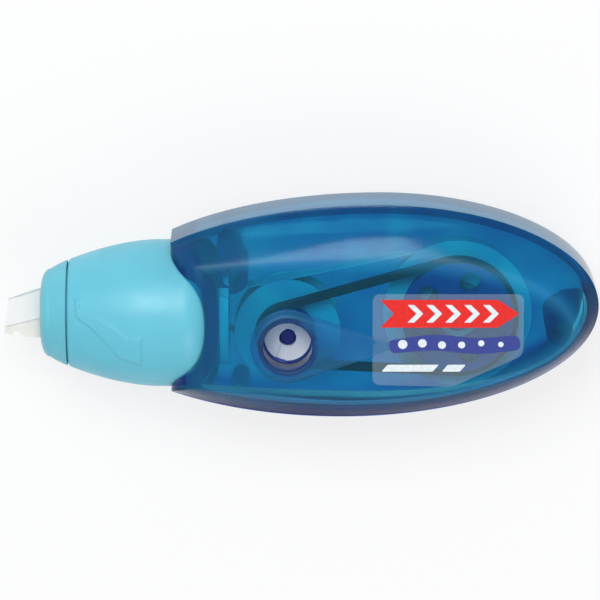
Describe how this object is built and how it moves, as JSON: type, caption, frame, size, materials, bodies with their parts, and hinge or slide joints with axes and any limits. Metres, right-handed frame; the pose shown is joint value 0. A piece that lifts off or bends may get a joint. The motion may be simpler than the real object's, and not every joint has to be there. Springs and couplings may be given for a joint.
{
  "type": "correction tape roller",
  "caption": "Twist-nose correction tape roller: translucent casing with two belt-driven tape spools, a twist collar and a sliding nose sleeve over a flat applicator tip.",
  "frame": {"origin": "centre of the bounding box in X and Y, at the lowest point of the collar, on the surface the roller lies on", "axes": "+X from the tip to the tail along the nose axis, +Z out of the printed face, +Y towards the higher edge of the casing"},
  "size_m": [0.1072, 0.039, 0.0267],
  "materials": {
    "frosted_blue": "translucent blue, finely frosted outside",
    "clear_blue": "clear blue, glossy",
    "label": "printed clear film",
    "natural_plastic": "natural, slightly milky",
    "tip_plastic": "milky, satin",
    "white_tape": "chalky white coat",
    "carrier_ribbon": "thin clear ribbon",
    "black_rubber": "dull black",
    "turquoise_plastic": "satin turquoise",
    "felt_grey": "grey friction felt",
    "violet_plastic": "satin",
    "white_plastic": "white, semi-gloss"
  },
  "bodies": {
    "casing": {"back_shell": "frosted_blue", "front_cover": "clear_blue", "label_film": "label", "nose_core": "natural_plastic", "applicator_tip": "tip_plastic", "feed_tape": "white_tape", "return_tape": "carrier_ribbon", "drive_belt": "black_rubber"},
    "collar": {"twist_collar": "turquoise_plastic", "cam_ring": "natural_plastic"},
    "nose": {"nose_sleeve": "turquoise_plastic"},
    "supply": {"supply_spool": "natural_plastic", "supply_flange": "natural_plastic", "clutch_washer": "felt_grey", "supply_pulley": "violet_plastic", "tape_roll": "white_tape"},
    "take_up": {"take_up_spool": "natural_plastic", "take_up_flange": "natural_plastic", "take_up_pulley": "violet_plastic", "tension_hub": "white_plastic", "used_tape_roll": "carrier_ribbon"}
  },
  "joints": [
    {"name": "collar_twist", "type": "hinge", "parent": "casing", "child": "collar", "pos_m": [-0.0336, -0.00165, 0.0133], "axis": [1, 0, 0], "range_deg": [0, 180]},
    {"name": "nose_slide", "type": "slide", "parent": "casing", "child": "nose", "axis": [-1, 0, 0], "range_m": [0, 0.008]},
    {"name": "supply_spin", "type": "hinge", "parent": "casing", "child": "supply", "pos_m": [0.0284, -0.00165, 0.0133], "axis": [0, 0, 1], "continuous": true},
    {"name": "take_up_spin", "type": "hinge", "parent": "casing", "child": "take_up", "pos_m": [-0.0023, -0.00515, 0.0133], "axis": [0, 0, 1], "continuous": true}
  ],
  "couplings": [
    {"joint": "nose_slide", "follows": "collar_twist", "m_per_rad": 0.0025464},
    {"joint": "take_up_spin", "follows": "supply_spin", "ratio": 1.9434}
  ]
}
